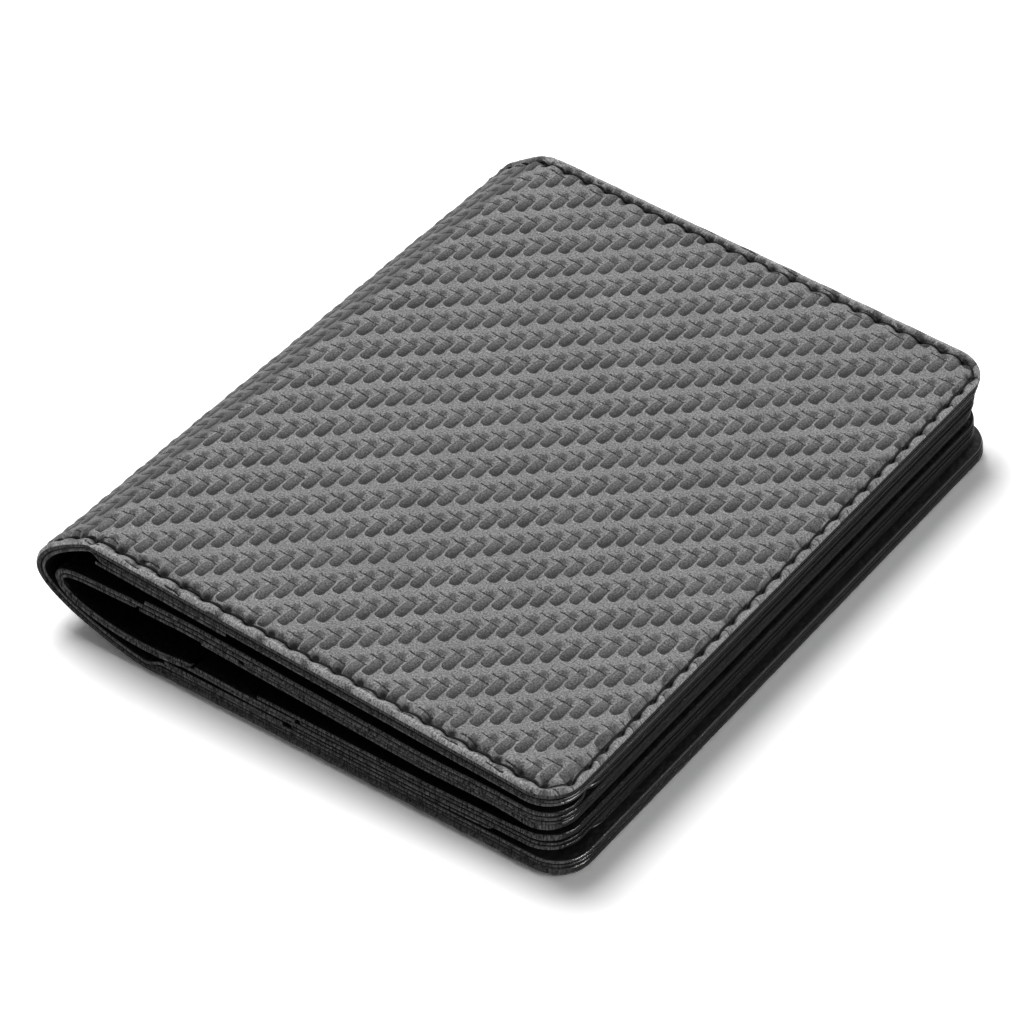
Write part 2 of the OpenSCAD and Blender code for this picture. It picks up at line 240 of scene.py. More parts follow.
inner = Profile(np.concatenate([fold_rear_arm, fold_front_arm[1:]]), fold_nose, FOLD_ROUNDING)

# Each bending ply is cut in three where one fold ends and the next begins: a distance along its line
# for each cut, and for each fold the place where it starts and the place where it is complete
SEAM_REAR = S_REAR + 8.5
SEAM_FRONT = -7.6
REAR_BEND = ((-20.5, 0, 0), (-29.5, 0, 0))
NOSE_BEND = ((0, 0, 5.0), (0, 0, 12.4))
FRONT_BEND = ((-35.5, 0, 0), (-28.3, 0, 0))
FOLD_SEAM_REAR_X = -31.0
FOLD_SEAM_FRONT_X = -32.6
FOLD_NOSE_BEND = ((0, 0, 6.2), (0, 0, 9.7))
FOLD_FRONT_BEND = ((-32.0, 0, 0), (-26.8, 0, 0))
fold_turn = np.argmin(inner.line[:, 0])
FOLD_SEAM_REAR = np.interp(-FOLD_SEAM_REAR_X, -inner.line[:fold_turn, 0], inner.s[:fold_turn])
FOLD_SEAM_FRONT = np.interp(FOLD_SEAM_FRONT_X, inner.line[fold_turn:, 0], inner.s[fold_turn:])


# Modelling helpers: a sheet is laid flat in millimetres, shaped, then folded along a profile

# Points round a domed edge, upright share of a seam's wall, and depth where the weave ends on the rim
DOME_POINTS = 11
WALL_TOP = 0.7
MERGE_MM = 0.0005
WRAP_DEPTH = 0.42
SMOOTH_ANGLE = math.radians(50)


def read(items, field, kind=float, width=1):
    """One field of all items of a mesh, as an array."""
    values = np.empty(len(items)*width, kind)
    items.foreach_get(field, values)
    return values


def points_of(piece):
    """The places of a piece's points, one row each."""
    return read(piece.data.vertices, "co", width=3).reshape(-1, 3)


@contextmanager
def moved(piece):
    """Lends a piece's points, and puts them back as they were changed."""
    at = points_of(piece)
    yield at
    piece.data.vertices.foreach_set("co", at.astype(np.float32).ravel())
    piece.data.update()


@contextmanager
def editing():
    """Blender's edit mode for the active piece."""
    bpy.ops.object.mode_set(mode="EDIT")
    yield
    bpy.ops.object.mode_set(mode="OBJECT")


def edge_section(reach, dome, thick, step):
    """Inset and depth of a sheet's edge, from its flat over the domed edge to its underside."""
    flat = spread(reach, dome, step)[:-1]
    turn = np.radians(np.linspace(-90, 90, DOME_POINTS))
    inset = np.concatenate([flat, dome*(1 - np.cos(turn))])
    depth = np.concatenate([np.zeros(len(flat)), thick/2*(1 + np.sin(turn))])
    return inset, depth


def grid_lines(low, high, low_edge, high_edge, inset, step):
    """Places of a grid's lines along one axis, and their edge rings, negative at the low end."""
    first = low + inset[0] if low_edge else low
    last = high - inset[0] if high_edge else high
    place = [spread(first, last, step)]
    ring = [np.zeros(len(place[0]), int)]
    rings = np.arange(1, len(inset))
    if low_edge:
        place.insert(0, (low + inset[1:])[::-1])
        ring.insert(0, -rings[::-1])
    if high_edge:
        place.append(high - inset[1:])
        ring.append(rings)
    return np.concatenate(place), np.concatenate(ring)


def lay_sheet(name, s_span, y_span, edges, thick, dome=0.2, reach=0.8, steps=(1.2, 4.0), edge_step=0.4):
    """A closed flat sheet with domed edges and round corners, finished face up.

    edges tells which of its two ends along s are edges; the others are seams to a next sheet. Their walls
    go straight down at first, so that they stay below a face that is pressed later."""
    inset, depth = edge_section(reach, dome, thick, edge_step)
    s, ring_s = grid_lines(*s_span, *edges, inset, steps[0])
    y, ring_y = grid_lines(*y_span, True, True, inset, steps[1])
    bpy.ops.mesh.primitive_grid_add(x_subdivisions=len(s) - 1, y_subdivisions=len(y) - 1, size=2)
    sheet = bpy.context.object
    sheet.name = sheet.data.name = name
    across, along, _ = points_of(sheet).T
    i = np.rint((across + 1)/2*(len(s) - 1)).astype(int)
    j = np.rint((along + 1)/2*(len(y) - 1)).astype(int)
    side_s, side_y = np.sign(ring_s[i]), np.sign(ring_y[j])
    ring_s, ring_y = np.abs(ring_s[i]), np.abs(ring_y[j])
    ring = np.maximum(ring_s, ring_y)
    corner = np.minimum(ring_s, ring_y) > 0
    angle = math.pi/4*np.minimum(ring_s, ring_y)/np.maximum(ring, 1)
    angle = np.where(ring_s >= ring_y, angle, math.pi/2 - angle)
    radius = reach - inset[ring]
    centre_s = np.where(side_s > 0, s_span[1] - reach, s_span[0] + reach)
    centre_y = np.where(side_y > 0, y_span[1] - reach, y_span[0] + reach)
    with moved(sheet) as at:
        at[:, 0] = np.where(corner, centre_s + side_s*radius*np.cos(angle), s[i])
        at[:, 1] = np.where(corner, centre_y + side_y*radius*np.sin(angle), y[j])
        at[:, 2] = -depth[ring]
    with editing():
        bpy.ops.mesh.select_mode(type="EDGE")
        bpy.ops.mesh.select_all(action="DESELECT")
        bpy.ops.mesh.select_non_manifold()
        bpy.ops.mesh.extrude_edges_move()
    rim = read(sheet.data.vertices, "select", bool)
    with moved(sheet) as at:
        at[rim, 2] = np.minimum(at[rim, 2], -WALL_TOP*thick)
    with editing():
        bpy.ops.mesh.extrude_edges_move()
    rim = read(sheet.data.vertices, "select", bool)
    low = s_span[0] + (reach if edges[0] else 0)
    high = s_span[1] - (reach if edges[1] else 0)
    with moved(sheet) as at:
        at[rim, 0] = np.clip(at[rim, 0], low, high)
        at[rim, 1] = sum(y_span)/2
        at[rim, 2] = -thick
    with editing():
        bpy.ops.mesh.select_all(action="SELECT")
        bpy.ops.mesh.remove_doubles(threshold=MERGE_MM)
    return sheet


def corners_of(piece):
    """The places of all faces' corners, one row each."""
    return points_of(piece)[read(piece.data.loops, "vertex_index", int)]


def mark_edge_faces(piece):
    """Gives the painted edge and the back their own material slot: the weave wraps over the rim."""
    height = corners_of(piece)[:, 2]
    starts = read(piece.data.polygons, "loop_start", int)
    counts = np.diff(np.append(starts, len(height)))
    below = np.add.reduceat(height, starts)/counts < -WRAP_DEPTH
    piece.data.polygons.foreach_set("material_index", below.astype(int))


def map_flat_pattern(piece):
    """Writes the flat pattern's own millimetres as a UV map, so that the grain follows the folds."""
    layer = piece.data.uv_layers.new(name="flat_pattern")
    layer.data.foreach_set("uv", corners_of(piece)[:, :2].astype(np.float32).ravel())


def face_outward(piece):
    """Turns all faces of a closed piece outward."""
    bpy.ops.object.select_all(action="DESELECT")
    piece.select_set(True)
    bpy.context.view_layer.objects.active = piece
    with editing():
        bpy.ops.mesh.select_all(action="SELECT")
        bpy.ops.mesh.normals_make_consistent()


def fold(piece, profile, depth=0.0, inward=False):
    """Folds a flat piece along a profile, its finished face at a depth and facing out or in.

    The way each corner faced while flat is kept, so that a material knows faces from cut ends."""
    map_flat_pattern(piece)
    face_outward(piece)
    bpy.ops.object.shade_smooth_by_angle(angle=SMOOTH_ANGLE)
    facing = read(piece.data.corner_normals, "vector", np.float32, 3)
    kept = piece.data.attributes.new("flat_facing", "FLOAT_VECTOR", "CORNER")
    kept.data.foreach_set("vector", facing)
    with moved(piece) as at:
        height = -depth - at[:, 2] if inward else at[:, 2] - depth
        at[:] = profile.place(at[:, 0], at[:, 1], height)
    face_outward(piece)


def join(name, parts):
    """Joins pieces into one, under one name."""
    bpy.ops.object.select_all(action="DESELECT")
    for part in parts:
        part.select_set(True)
    whole = parts[0]
    bpy.context.view_layer.objects.active = whole
    bpy.ops.object.join()
    whole.name = whole.data.name = name
    return whole


def finish_piece(piece, materials, slot, replaced, body=None, bend=None):
    """Gives a piece its materials and hides the CAD nodes that it stands for; with a body it is hung under
    that body, without one it stays where it lies and follows no fold. The slot is not used.
    """
    for material in materials:
        piece.data.materials.append(material)
    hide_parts(*replaced)
    if body:
        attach(piece, body)
    else:
        first, second, (start, end) = bend
        Vector(start)*MM
        Vector(end)*MM
        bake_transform(piece)


# Seam line of the cover: one loop round the whole flat pattern

def loop_places(low, high, half, radius, pitch):
    """Places and headings at an even pitch round a rectangle with round corners."""
    run_s = high - low - 2*radius
    run_y = 2*(half - radius)
    turn = radius*math.pi/2
    total = 2*(run_s + run_y) + 4*turn
    count = round(total/pitch)
    spots = []
    for k in range(count):
        along = k*total/count
        heading = 0.0
        corner = np.array([low + radius, radius - half])
        for run in (run_s, run_y, run_s, run_y):
            ahead = np.array([math.cos(heading), math.sin(heading)])
            right = np.array([ahead[1], -ahead[0]])
            if along < run:
                spots.append((*(corner + along*ahead + radius*right), heading))
                break
            along -= run
            corner = corner + run*ahead
            if along < turn:
                swing = along/radius
                toward = right*math.cos(swing) + ahead*math.sin(swing)
                spots.append((*(corner + radius*toward), heading + swing))
                break
            along -= turn
            heading += math.pi/2
    return np.array(spots), total/count


seam_low = S_REAR_OPEN + STITCH_INSET - OPEN_SEAM_SHIFT
seam_high = FRONT_W - STITCH_INSET + OPEN_SEAM_SHIFT
seam_radius = CORNER_R - STITCH_INSET
half_pitch_places, half_pitch = loop_places(seam_low, seam_high, HALF_L - STITCH_INSET, seam_radius,
                                            STITCH_PITCH/2)
hole_places = half_pitch_places[0::2]
stitch_places = half_pitch_places[1::2]
seam_pitch = 2*half_pitch


# Distances from the creases over which the leather thickens, and the lining steps onto the border ply
THICKENS = (0.0, 1.0)
STEPS_UP = (-0.2, 2.6)


def in_cover(s, start, end):
    """0 round the spine, rising to 1 in both covers between two distances from their creases."""
    return smoothstep(start, end, np.maximum(s, S_REAR - s))


def leather_thickness(s):
    """Full thickness in the covers, thinned round the spine."""
    return SPINE_T + (LEATHER_T - SPINE_T)*in_cover(s, *THICKENS)


def lining_depth(s):
    """The lining lies on the leather round the spine, and on the border ply in the covers."""
    return SPINE_T + (COVER_T - SPINE_T)*in_cover(s, *STEPS_UP)


def weave_relief(s, y):
    """Height of the pressed weave, from 0 to 1: long strands over, cross strands lower."""
    p, q = s/STRAND_X, y/STRAND_Y
    c, t = math.cos(WEAVE_TURN), math.sin(WEAVE_TURN)
    p, q = c*p - t*q + WEAVE_START[0], t*p + c*q + WEAVE_START[1]
    # A twill: each strand passes over two others, then under two
    over = np.mod(np.floor(p) - np.floor(q), 4)
    part_p, part_q = p - np.floor(p), q - np.floor(q)
    long_strand = 1 - 0.75*(2*part_q - 1)**2 - 0.3*(part_p + over - 1)**2
    cross_strand = 0.5*(1 - 0.8*(2*part_p - 1)**2) - 0.15*(part_q + 2 - over)**2
    return np.where(over < 1.5, long_strand, cross_strand)


def edge_inset(s, y, shift=0.0):
    """Distance of a flat place from the pattern's outline, with its open edges moved out by a shift."""
    to_s = np.minimum(s - S_REAR_OPEN, FRONT_W - s) + shift
    to_y = HALF_L - np.abs(y)
    in_corner = (to_s < CORNER_R) & (to_y < CORNER_R)
    round_inset = CORNER_R - np.hypot(CORNER_R - to_s, CORNER_R - to_y)
    return np.where(in_corner, round_inset, np.minimum(to_s, to_y))


# The pressed leather in millimetres: a ridge or dent has a width and a height, and the weave comes on
# between two distances from the edge, and from the seam
FACE_DEPTH = 0.4
WEAVE_HEIGHT = 0.2
WOVEN_FROM_EDGE = (-0.2, 0.6)
WOVEN_FROM_SEAM = (0.2, 0.8)
RIM = (0.4, 0.12)
RIM_INSET = 0.8
RIDGE = (0.6, 0.1)
RIDGE_INSET = 3.1
GROOVE = (0.26, -0.34)
CREASE = (0.6, -0.28)
NOTCH = (0.45, -0.45)
NOTCH_REACH = 1.2
WAVE_HEIGHTS = (0.06, 0.03)

# A stitch hole, wider to the inside, and the pucker beside it: its distance and size along the seam and out
HOLE_DEPTH = 0.75
HOLE_L = 0.48
HOLE_OUT = 0.42
HOLE_IN = 0.6
PUCKER_HEIGHT = 0.16
PUCKER_ALONG = 1.5
PUCKER_L = 0.5
PUCKER_OUT = -0.85
PUCKER_W = 0.35
SEAM_REACH = 2.0

# Painted shade: how dark it is in the seam, in its holes, and round the spine from its crease to its nose
GROOVE_SHADE = (0.24, 0.62)
HOLE_SHADE = 1.7
SPINE_SHADE = 0.45
SPINE_SHADE_START = (-0.6, -2.0)
SPINE_SHADE_FADE = 4.0
CREASE_SHADE = (1.1, 0.15)
CREASE_SHADE_S = -2.6


def press_leather(piece):
    """Raises the weave and the rim on the leather's finished face, sinks the seam into it, and keeps painted
    shade for the seam and the spine.
    """
    s, y, height = points_of(piece).T
    face = np.clip(1 + height/FACE_DEPTH, 0, 1)
    inset = edge_inset(s, y)
    away = np.abs(edge_inset(s, y, OPEN_SEAM_SHIFT) - STITCH_INSET)
    woven = smoothstep(*WOVEN_FROM_EDGE, inset)*smoothstep(*WOVEN_FROM_SEAM, away)
    relief = WEAVE_HEIGHT*(weave_relief(s, y) - 0.5)*woven
    relief += bell(inset - RIM_INSET, *RIM)
    relief += bell(away, *GROOVE)
    relief += bell(inset - RIDGE_INSET, *RIDGE)
    # Painted shade: the spine darkens from its crease to its nose, most just past the crease, and the seam's
    # groove and holes go dark
    round_spine = smoothstep(*SPINE_SHADE_START, s)*smoothstep(S_NOSE - SPINE_SHADE_FADE, S_NOSE, s)
    spine_shade = round_spine*(SPINE_SHADE + bell(s - CREASE_SHADE_S, *CREASE_SHADE))
    seam = np.maximum(bell(away, *GROOVE_SHADE), spine_shade)
    near_seam = np.flatnonzero(away < SEAM_REACH)
    for hole_s, hole_y, heading in hole_places:
        off_s, off_y = s[near_seam] - hole_s, y[near_seam] - hole_y
        along = off_s*math.cos(heading) + off_y*math.sin(heading)
        outward = off_s*math.sin(heading) - off_y*math.cos(heading)
        pull = bell(along, HOLE_L)*bell(outward, np.where(outward > 0, HOLE_OUT, HOLE_IN))
        pucker = bell(np.abs(along) - PUCKER_ALONG, PUCKER_L)*bell(outward - PUCKER_OUT, PUCKER_W)
        relief[near_seam] += PUCKER_HEIGHT*pucker - HOLE_DEPTH*pull
        seam[near_seam] = np.maximum(seam[near_seam], HOLE_SHADE*pull)
    relief += bell(s, *CREASE) + bell(s, *NOTCH)*bell(inset, NOTCH_REACH)
    # Slow waves, some centimetres long, as leather that isn't quite flat
    relief += WAVE_HEIGHTS[0]*np.sin(s/11.0 + 0.7)*np.sin(y/14.0 + 1.9)
    relief += WAVE_HEIGHTS[1]*np.sin(s/5.3 + y/7.1)
    with moved(piece) as at:
        at[:, 2] = height*leather_thickness(s)/LEATHER_T + relief*face
    shade = piece.data.attributes.new("painted_seam_and_spine_shade", "FLOAT", "POINT")
    shade.data.foreach_set("value", (seam*face).astype(np.float32))


def model_stitch(length, width, dive):
    """One visible stitch: a twisted thread that comes up from a hole, lies along the seam and goes down."""
    sections = 6
    half_twist = 1.2
    taper = 0.35
    strand_bulge = 0.12
    bpy.ops.mesh.primitive_circle_add(vertices=8, radius=width/2, fill_type="NGON",
                                      location=(-length/2, 0, 0), rotation=(0, math.pi/2, 0))
    stitch = bpy.context.object
    bpy.ops.object.transform_apply()
    with editing():
        bpy.ops.mesh.select_all(action="SELECT")
        for _ in range(sections):
            bpy.ops.mesh.extrude_region_move(TRANSFORM_OT_translate={"value": (length/sections, 0, 0)})
        bpy.ops.mesh.select_all(action="SELECT")
        bpy.ops.mesh.normals_make_consistent()
    x, side, up = points_of(stitch).T
    along = 2*x/length
    plump = 1 - taper*along**4
    lobe = 1 + strand_bulge*np.cos(2*(np.arctan2(up, side) - 2*half_twist*along))
    with moved(stitch) as at:
        at[:, 1] = side*plump*lobe
        at[:, 2] = up*plump*lobe - dive*along**4
    return stitch


def sew(name, places, stitch, height, slant=0.0):
    """Copies a stitch to each place of a seam on the flat pattern, and joins the copies."""
    copies = []
    for s, y, heading in places:
        one = bpy.data.objects.new(name, stitch.data.copy())
        bpy.context.collection.objects.link(one)
        one.data.transform(Matrix.Translation((s, y, height)) @ Matrix.Rotation(heading + slant, 4, "Z"))
        copies.append(one)
    return join(name, copies)


# Materials

# Settings of a range that eases in and out, of a mix of two colours, and of a colour times a tone
EASED = {"interpolation_type": "SMOOTHSTEP"}
COLOURS = {"out": 2, "places": (0, 6, 7), "data_type": "RGBA"}
TINT = {**COLOURS, "blend_type": "MULTIPLY"}


def linear(colour):
    """An sRGB hex colour as linear RGBA."""
    parts = [int(colour[k:k + 2], 16)/255 for k in (1, 3, 5)]
    return (*[c/12.92 if c <= 0.04045 else ((c + 0.055)/1.055)**2.4 for c in parts], 1)


def node(tree, kind, inputs=(), out=0, places=range(9), **settings):
    """Adds a node with its settings, sets or links its inputs, and returns an output.

    A kind can name an operation after a dot. A list of inputs goes to the sockets at these places, and
    text is a hex colour."""
    kind, _, operation = kind.partition(".")
    made = tree.nodes.new("ShaderNode" + kind)
    if operation:
        made.operation = operation
    for key, value in settings.items():
        setattr(made, key, value)
    for place, value in inputs.items() if isinstance(inputs, dict) else zip(places, inputs):
        if isinstance(value, bpy.types.NodeSocket):
            tree.links.new(value, made.inputs[place])
        elif value is not None:
            made.inputs[place].default_value = linear(value) if isinstance(value, str) else value
    return made.outputs[out] if made.outputs else made


def new_material(name):
    """A material with an empty node tree, and node() for that tree."""
    material = bpy.data.materials.new(name)
    material.use_nodes = True
    material.node_tree.nodes.clear()
    return material, partial(node, material.node_tree)


def finish_material(add, **inputs):
    """Ends a material in one principled surface."""
    names = {"colour": "Base Color", "roughness": "Roughness", "normal": "Normal",
             "specular": "Specular IOR Level"}
    surface = add("BsdfPrincipled", {names[key]: value for key, value in inputs.items()})
    add("OutputMaterial", [surface])


# A leaf of the weave: its half width at shares of its length, both in strands
LEAF_OUTLINE = ((0.0, 0.0), (0.09, 0.0), (0.13, 0.24), (0.18, 0.38), (0.26, 0.45), (0.38, 0.475),
                (0.55, 0.47), (0.78, 0.45), (1.0, 0.4))


def strand_grid(add, flat):
    """Where a place lies in the weave: its rows and its parts of them both ways, and its twill step.

    Strands wander by a tenth of a millimetre, so that their borders aren't straight."""
    wander = add("TexNoise", {"Vector": flat, "Scale": 0.9, "Detail": 3.0}, out="Color")
    shift = add("VectorMath.SUBTRACT", [wander, (0.5, 0.5, 0.5)])
    shift = add("VectorMath.SCALE", {0: shift, "Scale": 0.26})
    strands = add("Mapping", {
        "Vector": flat, "Location": (*WEAVE_START, 0), "Rotation": (0, 0, WEAVE_TURN),
        "Scale": (1/STRAND_X, 1/STRAND_Y, 1)})
    strands = add("VectorMath.ADD", [strands, shift])
    p, q, _ = add("SeparateXYZ", [strands]).node.outputs
    weave = SimpleNamespace()
    weave.part_p = add("Math.FRACT", [p])
    weave.part_q = add("Math.FRACT", [q])
    weave.row_p = add("Math.FLOOR", [p])
    weave.row_q = add("Math.FLOOR", [q])
    apart = add("Math.SUBTRACT", [weave.row_p, weave.row_q])
    weave.over = add("Math.FLOORED_MODULO", [apart, 4.0])
    weave.is_long = add("Math.LESS_THAN", [weave.over, 1.5])
    weave.is_cross = add("Math.SUBTRACT", [1.0, weave.is_long])
    return weave


def leaf_print_and_shade(add, weave, speck):
    """Cross strands: how far a place lies inside a leaf with a narrow upper end, and the tone there."""
    rest = add("Math.SUBTRACT", [3.0, weave.over])
    up_strand = add("Math.ADD", [weave.part_q, rest])
    off_middle = add("Math.SUBTRACT", [weave.part_p, 0.5])
    off_side = add("Math.ABSOLUTE", [off_middle])
    share = add("Math.DIVIDE", [up_strand, 2.0])
    half_width = add("FloatCurve", {"Value": share})
    outline = half_width.node.mapping.curves[0]
    outline.points[0].location = LEAF_OUTLINE[0]
    outline.points[1].location = LEAF_OUTLINE[-1]
    for spot in LEAF_OUTLINE[1:-1]:
        outline.points.new(*spot)
    half_width.node.mapping.update()
    inside = add("Math.SUBTRACT", [half_width, off_side])
    inside = add("Math.MULTIPLY_ADD", [speck, 0.45, inside])
    # Lighter at its left and its wide end, and darker towards its border as painted shade; each leaf has a
    # tone of its own
    side_tone = add("Math.MULTIPLY_ADD", [off_middle, -0.95, 0.42])
    own_row = add("Math.ADD", [weave.row_q, weave.over])
    own_place = add("CombineXYZ", [weave.row_p, own_row, 0.0])
    own = add("TexWhiteNoise", {"Vector": own_place}, noise_dimensions="2D")
    own_tone = add("MapRange", [own, 0.0, 1.0, -0.16, 0.16])
    painted_border_shade = add("MapRange", [inside, 0.0, 0.18, -0.3, 0.12])
    tone = add("MapRange", [up_strand, 0.2, 2.0, -0.5, 0.42])
    for part in (side_tone, own_tone, painted_border_shade):
        tone = add("Math.ADD", [tone, part])
    tone = add("Math.MULTIPLY_ADD", [speck, 1.2, tone], use_clamp=True)
    return inside, tone


def joints_and_dip_shade(add, weave, speck):
    """Long strands: a thin dark joint under the right part of each, and painted shade above that joint,
    where the strand dips under the next leaf.
    """
    along = add("Math.ADD", [weave.part_p, weave.over])
    ragged = add("Math.MULTIPLY_ADD", [speck, 0.24, weave.part_q])
    joint = add("MapRange", [ragged, 0.05, 0.15, 1.0, 0.0], **EASED)
    starts = add("MapRange", [along, 0.28, 0.5], **EASED)
    ends = add("MapRange", [along, 1.88, 1.98, 1.0, 0.0], **EASED)
    for part in (starts, ends, weave.is_long):
        joint = add("Math.MULTIPLY", [joint, part])
    place = add("CombineXYZ", [along, weave.part_q, 0.0])
    place = add("Mapping", {"Vector": place, "Location": (-2.45, -0.55, 0), "Scale": (1.75, 1.9, 1)})
    painted_dip_shade = add("VectorMath.LENGTH", [place], out="Value")
    painted_dip_shade = add("Math.MULTIPLY_ADD", [speck, 1.1, painted_dip_shade])
    painted_dip_shade = add("MapRange", [painted_dip_shade, 0.25, 1.05, 0.85, 0.0], **EASED)
    painted_dip_shade = add("Math.MULTIPLY", [painted_dip_shade, weave.is_long])
    return joint, painted_dip_shade


def edge_distances(add, flat):
    """Distances of a flat place from the near or far end, and from the nearest of all edges."""
    s, y, _ = add("SeparateXYZ", [flat]).node.outputs
    to_front = add("Math.SUBTRACT", [FRONT_W, s])
    to_rear = add("Math.SUBTRACT", [s, S_REAR_OPEN])
    to_open = add("Math.MINIMUM", [to_front, to_rear])
    off_middle = add("Math.ABSOLUTE", [y])
    to_end = add("Math.SUBTRACT", [HALF_L, off_middle])
    to_edge = add("Math.MINIMUM", [to_open, to_end])
    return to_end, to_edge


def weave_leather():
    """Split leather with a pressed twill, satin coated: light strands lie along the wallet's width over
    darker cross strands, partly printed and partly painted sheen, with a sandy grain and thin dark joints."""
    material, add = new_material("pressed_weave_leather")
    flat = add("UVMap", uv_map="flat_pattern")
    # The map is in millimetres: 3.7 sandy grains to each, and soft clouds 7 mm wide
    grain = add("TexNoise", {"Vector": flat, "Scale": 3.7, "Roughness": 0.85})
    clouds = add("TexNoise", {"Vector": flat, "Scale": 0.14})
    speck = add("Math.SUBTRACT", [grain, 0.5])
    weave = strand_grid(add, flat)
    inside, leaf_tone = leaf_print_and_shade(add, weave, speck)
    joint, painted_dip_shade = joints_and_dip_shade(add, weave, speck)
    to_end, to_edge = edge_distances(add, flat)

    # The leaves fade on the rim, and each has a light border
    fade = add("MapRange", [to_edge, 0.6, 1.2, 0.35, 1.0])
    leaf = add("MapRange", [inside, -0.03, 0.06], **EASED)
    for part in (weave.is_cross, fade):
        leaf = add("Math.MULTIPLY", [leaf, part])
    border = add("MapRange", [inside, -0.14, -0.03], **EASED)
    border = add("Math.MULTIPLY", [border, weave.is_cross])

    # Colour: grey strands over dark leaves, partly print and partly painted sheen; light leaf borders;
    # painted shade where strands dip; near black joints
    colour = add("Mix", [painted_dip_shade, "#848484", "#424242"], **COLOURS)
    colour = add("Mix", [border, colour, "#a2a2a2"], **COLOURS)
    leaf_colour = add("Mix", [leaf_tone, "#1f1f1f", "#696969"], **COLOURS)
    colour = add("Mix", [leaf, colour, leaf_colour], **COLOURS)
    colour = add("Mix", [joint, colour, "#0c0c0c"], **COLOURS)

    # Tone: grain and clouds, lighter at the near and far ends, and painted shade that takes the seam near
    # black and darkens the spine
    tone = add("MapRange", [grain, 0.3, 0.7, 0.12, 1.92], clamp=False)
    cloud_tone = add("MapRange", [clouds, 0.3, 0.7, 0.92, 1.08])
    lighter_end_rim_tone = add("MapRange", [to_end, 0.6, 1.2, 1.25, 1.0])
    seam = add("Attribute", out="Fac", attribute_name="painted_seam_and_spine_shade")
    painted_shade_tone = add("MapRange", [seam, 0.15, 0.95, 1.0, 0.05])
    for part in (cloud_tone, lighter_end_rim_tone, painted_shade_tone):
        tone = add("Math.MULTIPLY", [tone, part])
    colour = add("Mix", [1.0, colour, tone], **TINT)

    # Height: strands are arched and stand over the leaves, joints and leaf borders sink
    arch = add("Math.SUBTRACT", [weave.part_q, 0.5])
    arch = add("Math.MULTIPLY", [arch, arch])
    long_height = add("Math.MULTIPLY_ADD", [arch, -1.6, 1.0])
    leaf_height = add("MapRange", [inside, 0.0, 0.4, 0.2, 0.6], **EASED)
    height = add("Mix", [leaf, None, long_height, leaf_height])
    height = add("Math.MULTIPLY_ADD", [joint, -0.6, height])
    height = add("Math.MULTIPLY_ADD", [grain, 0.9, height])
    bump = add("Bump", {"Strength": 0.7, "Distance": 0.12*MM, "Height": height})
    shine = add("MapRange", [grain, 0.3, 0.7, 0.5, 0.66])
    finish_material(add, colour=colour, roughness=shine, normal=bump, specular=0.2)
    return material


def ply_material(name, edge_hex, end_hex, rough, wrinkle_mm, wrinkle_depth, specular):
    """A black ply: flat faces are pebbled, painted edges are wrinkled and shine on their crests, and the
    ends cut across are dull and show combed, upright fibres."""
    material, add = new_material(name)
    here = add("TexCoord", out="Object")
    facing = add("Attribute", out="Vector", attribute_name="flat_facing")
    _, endways, upward = add("SeparateXYZ", [facing]).node.outputs
    endways = add("Math.ABSOLUTE", [endways])
    upward = add("Math.ABSOLUTE", [upward])
    is_end = add("MapRange", [endways, 0.45, 0.72], **EASED)
    is_face = add("MapRange", [upward, 0.9, 0.98], **EASED)
    crest = add("MapRange", [upward, 0.15, 0.4], **EASED)

    # Cut ends: fibres 0.2 mm apart and about 1 mm long
    combed = add("Mapping", {"Vector": here, "Scale": (4500, 4500, 900)})
    fibres = add("TexNoise", {"Vector": combed, "Scale": 1.0, "Roughness": 0.6})
    fuzz = add("MapRange", [fibres, 0.35, 0.7, 0.1, 1.7])
    end_colour = add("Mix", [1.0, end_hex, fuzz], **TINT)

    # Painted edges: wrinkles, and streaks 0.4 mm apart along the open edges
    wrinkles = add("TexNoise", {"Vector": here, "Scale": 1/(wrinkle_mm*MM), "Detail": 3.0, "Roughness": 0.6})
    drawn = add("Mapping", {"Vector": here, "Scale": (400, 130, 2600)})
    streaks = add("TexNoise", {"Vector": drawn, "Scale": 1.0, "Roughness": 0.6})
    wrinkles = add("Mix", [0.5, None, wrinkles, streaks])
    edge_tone = add("MapRange", [wrinkles, 0.3, 0.7, 0.6, 1.4])
    edge_colour = add("Mix", [1.0, edge_hex, edge_tone], **TINT)

    # Flat faces: pebbles 0.8 mm apart
    pebbles = add("TexVoronoi", {"Vector": here, "Scale": 1/(0.8*MM)}, out="Distance")
    pebble_tone = add("MapRange", [pebbles, 0.1, 0.7, 1.25, 0.55])
    face_colour = add("Mix", [1.0, "#161616", pebble_tone], **TINT)
    dimples = add("Math.MULTIPLY", [pebbles, -0.8])

    colour = add("Mix", [is_face, edge_colour, face_colour], **COLOURS)
    colour = add("Mix", [is_end, colour, end_colour], **COLOURS)
    polish = add("MapRange", [wrinkles, 0.35, 0.65, rough - 0.05, rough + 0.12])
    shine = add("Mix", [crest, None, 0.8, polish])
    shine = add("Mix", [is_face, None, shine, 0.4])
    shine = add("Mix", [is_end, None, shine, 0.9])
    height = add("Mix", [is_face, None, wrinkles, dimples])
    height = add("Mix", [is_end, None, height, fibres])
    bump = add("Bump", {"Strength": 1.0, "Distance": wrinkle_depth*MM, "Height": height})
    finish_material(add, colour=colour, roughness=shine, normal=bump, specular=specular)
    return material


